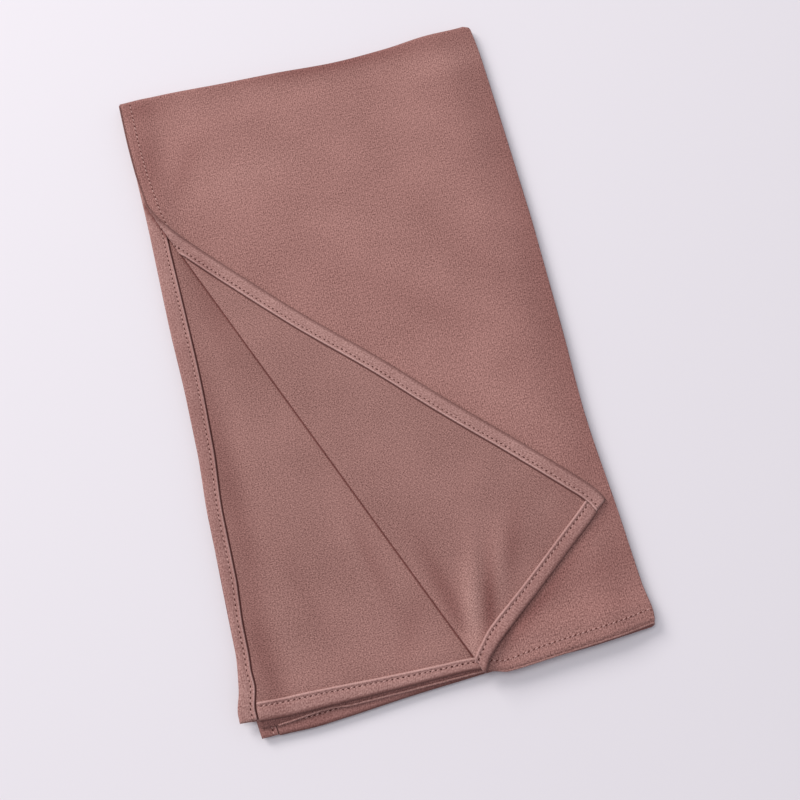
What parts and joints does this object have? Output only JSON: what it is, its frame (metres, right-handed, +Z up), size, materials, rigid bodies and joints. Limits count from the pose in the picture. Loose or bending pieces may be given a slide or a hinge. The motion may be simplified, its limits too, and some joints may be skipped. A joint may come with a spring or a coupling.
{
  "type": "folded hijab headscarf",
  "caption": "Long plain jersey headscarf folded flat into a rectangle, hemmed all round, with one corner of the top layer turned back to show the wrong side.",
  "frame": {"origin": "middle of the outline, on the surface that the folded scarf lies on", "axes": "+Z up, +Y along the length of the fold towards its folded far end, +X towards its folded long side"},
  "size_m": [0.2834, 0.4802, 0.0176],
  "materials": {
    "jersey_face": "matt fine jersey, face side with upright wales, dusty mauve brown",
    "jersey_back": "matt fine jersey, wrong side with small purl loops, dusty mauve brown",
    "jersey_hem": "matt fine jersey turned to the wrong side and stitched down"
  },
  "bodies": {
    "root": {"folded_layers": "jersey_face", "fourth_layer": "jersey_back", "fourth_side_hem": "jersey_hem", "fourth_end_hem": "jersey_hem", "third_layer": "jersey_face", "second_layer": "jersey_back", "second_side_hem": "jersey_hem", "second_end_hem": "jersey_hem", "top_layer": "jersey_face", "turned_corner": "jersey_back", "turned_side_hem": "jersey_hem", "turned_end_hem": "jersey_hem"}
  },
  "joints": []
}
